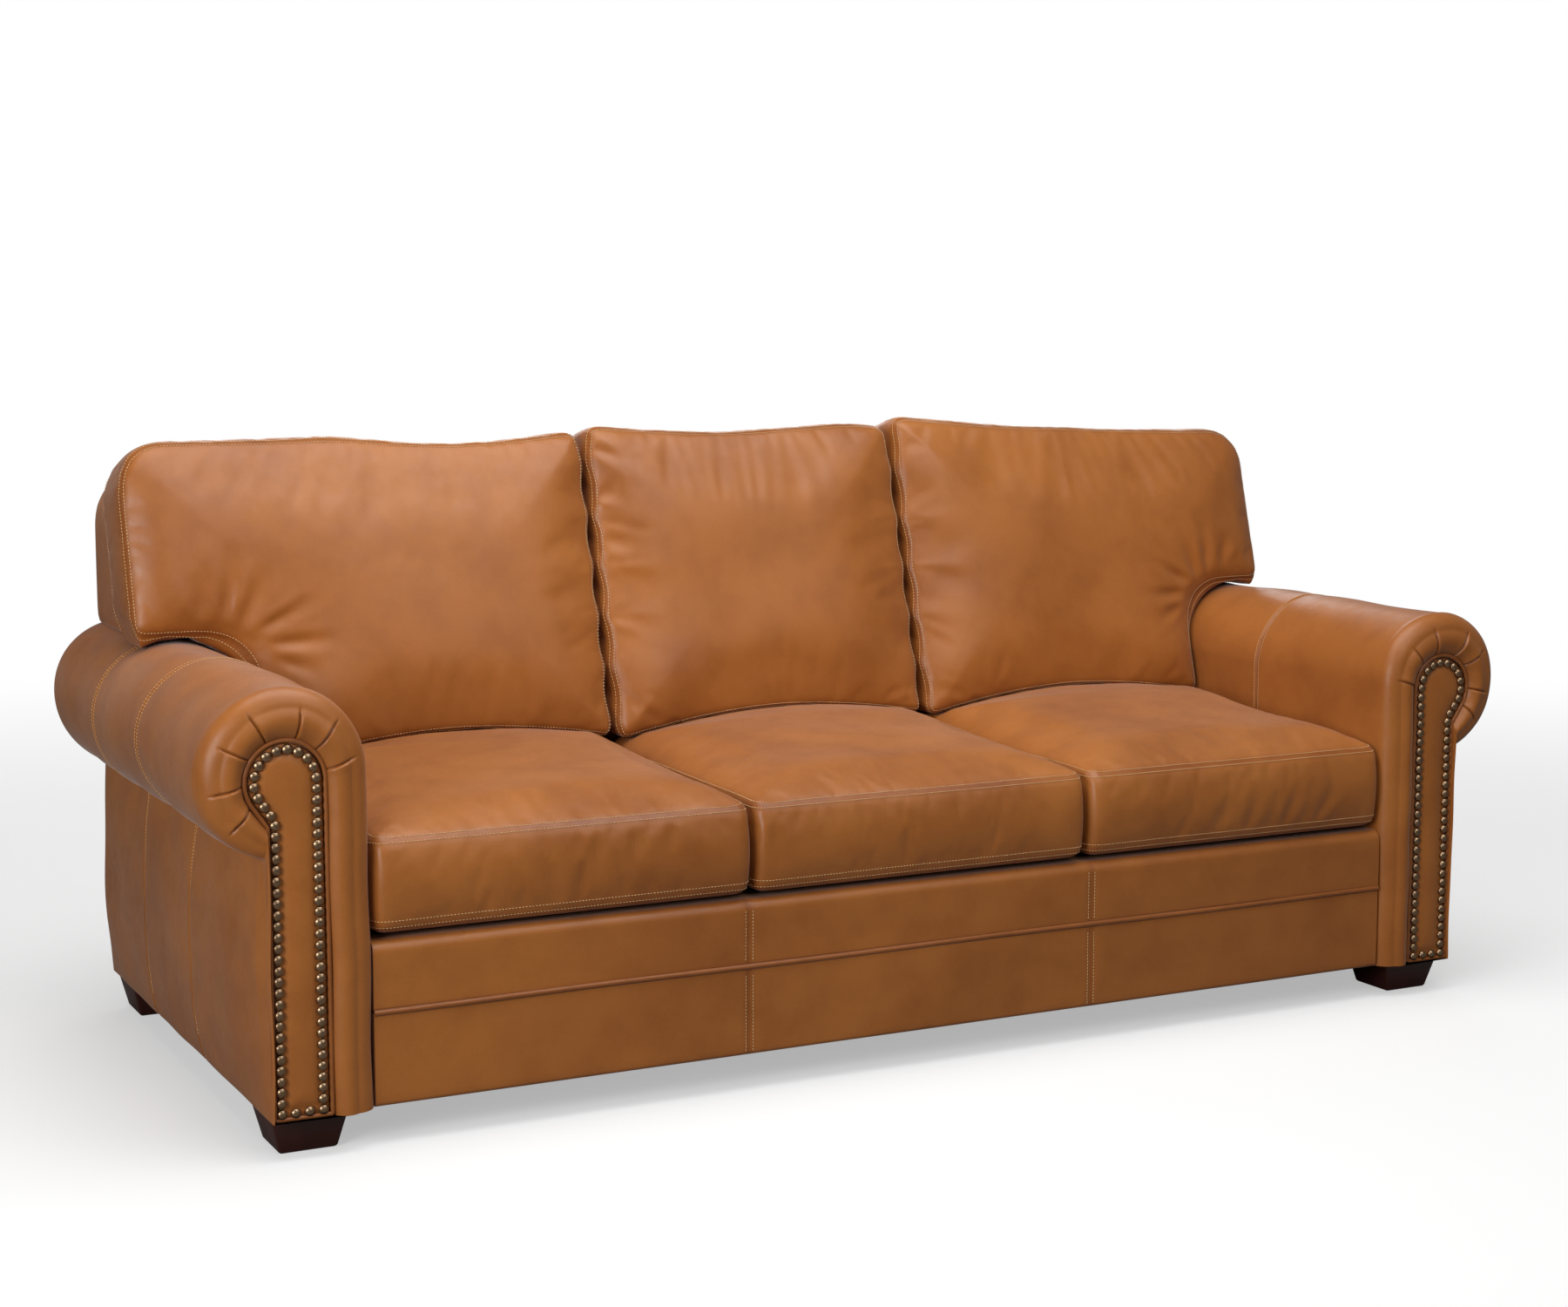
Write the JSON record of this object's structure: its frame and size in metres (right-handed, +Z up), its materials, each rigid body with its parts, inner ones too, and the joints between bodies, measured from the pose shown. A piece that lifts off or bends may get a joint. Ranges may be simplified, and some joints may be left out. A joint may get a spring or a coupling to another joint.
{
  "type": "sofa with wooden legs",
  "caption": "Rolled-arm leather sofa with loose seat and back cushions, nail-trimmed arm fronts and tapered wooden feet.",
  "frame": {"origin": "on the floor, under the centre of the whole sofa", "axes": "+X to the right when facing the front of the sofa, +Y from the front towards the back, +Z up"},
  "size_m": [2.286, 0.99, 0.988],
  "materials": {
    "antique_brass": "satin",
    "dark_wood": "satin",
    "deck_cloth": "matte",
    "dust_cloth": "matte",
    "foam": "matte",
    "frame_wood": "matte",
    "leather": "satin",
    "steel": "satin",
    "webbing": "matte",
    "zip_metal": "satin",
    "zip_tape": "matte"
  },
  "bodies": {
    "sofa": {"arm_front_boards": "frame_wood", "arm_nails": "antique_brass", "arm_rear_boards": "frame_wood", "arm_roll_foams": "foam", "arm_top_boards": "frame_wood", "arm_welts": "leather", "back_gussets": "frame_wood", "back_posts": "frame_wood", "back_rail": "frame_wood", "back_shell": "leather", "back_top_rail": "frame_wood", "back_webbing": "webbing", "dust_cover": "dust_cloth", "foot_blocks": "frame_wood", "foot_bolts": "steel", "foot_tee_nuts": "steel", "front_left_foot": "dark_wood", "front_lower_band": "leather", "front_rail": "frame_wood", "front_right_foot": "dark_wood", "front_upper_band": "leather", "front_welt": "leather", "left_arm_cover": "leather", "left_arm_panel": "leather", "outer_back_panel": "leather", "rear_left_foot": "dark_wood", "rear_right_foot": "dark_wood", "right_arm_cover": "leather", "right_arm_panel": "leather", "seat_deck": "deck_cloth", "seat_springs": "steel", "seat_stretchers": "frame_wood", "side_rails": "frame_wood", "spring_clips": "steel", "spring_rail": "frame_wood"},
    "left_seat_cushion": {"left_seat_cover": "leather", "left_seat_foam": "foam", "left_seat_zip": "zip_tape"},
    "left_back_cushion": {"left_back_cover": "leather", "left_back_fill": "foam", "left_back_zip": "zip_tape"},
    "left_seat_zip_pull": {"left_seat_zip_slider": "zip_metal"},
    "left_back_zip_pull": {"left_back_zip_slider": "zip_metal"},
    "middle_seat_cushion": {"middle_seat_cover": "leather", "middle_seat_foam": "foam", "middle_seat_zip": "zip_tape"},
    "middle_back_cushion": {"middle_back_cover": "leather", "middle_back_fill": "foam", "middle_back_zip": "zip_tape"},
    "middle_seat_zip_pull": {"middle_seat_zip_slider": "zip_metal"},
    "middle_back_zip_pull": {"middle_back_zip_slider": "zip_metal"},
    "right_seat_cushion": {"right_seat_cover": "leather", "right_seat_foam": "foam", "right_seat_zip": "zip_tape"},
    "right_back_cushion": {"right_back_cover": "leather", "right_back_fill": "foam", "right_back_zip": "zip_tape"},
    "right_seat_zip_pull": {"right_seat_zip_slider": "zip_metal"},
    "right_back_zip_pull": {"right_back_zip_slider": "zip_metal"}
  },
  "joints": [
    {"name": "left_seat_slide_out", "type": "slide", "parent": "sofa", "child": "left_seat_cushion", "axis": [0, -1, 0], "range_m": [0, 0.62]},
    {"name": "middle_seat_slide_out", "type": "slide", "parent": "sofa", "child": "middle_seat_cushion", "axis": [0, -1, 0], "range_m": [0, 0.62]},
    {"name": "right_seat_slide_out", "type": "slide", "parent": "sofa", "child": "right_seat_cushion", "axis": [0, -1, 0], "range_m": [0, 0.62]},
    {"name": "left_back_lift_off", "type": "slide", "parent": "sofa", "child": "left_back_cushion", "axis": [0, 0, 1], "range_m": [0, 0.5]},
    {"name": "middle_back_lift_off", "type": "slide", "parent": "sofa", "child": "middle_back_cushion", "axis": [0, 0, 1], "range_m": [0, 0.5]},
    {"name": "right_back_lift_off", "type": "slide", "parent": "sofa", "child": "right_back_cushion", "axis": [0, 0, 1], "range_m": [0, 0.5]},
    {"name": "left_seat_zip_run", "type": "slide", "parent": "left_seat_cushion", "child": "left_seat_zip_pull", "axis": [1, 0, 0], "range_m": [0, 0.445]},
    {"name": "middle_seat_zip_run", "type": "slide", "parent": "middle_seat_cushion", "child": "middle_seat_zip_pull", "axis": [1, 0, 0], "range_m": [0, 0.445]},
    {"name": "right_seat_zip_run", "type": "slide", "parent": "right_seat_cushion", "child": "right_seat_zip_pull", "axis": [1, 0, 0], "range_m": [0, 0.445]},
    {"name": "left_back_zip_run", "type": "slide", "parent": "left_back_cushion", "child": "left_back_zip_pull", "axis": [1, 0, 0], "range_m": [0, 0.445]},
    {"name": "middle_back_zip_run", "type": "slide", "parent": "middle_back_cushion", "child": "middle_back_zip_pull", "axis": [1, 0, 0], "range_m": [0, 0.445]},
    {"name": "right_back_zip_run", "type": "slide", "parent": "right_back_cushion", "child": "right_back_zip_pull", "axis": [1, 0, 0], "range_m": [0, 0.445]}
  ]
}
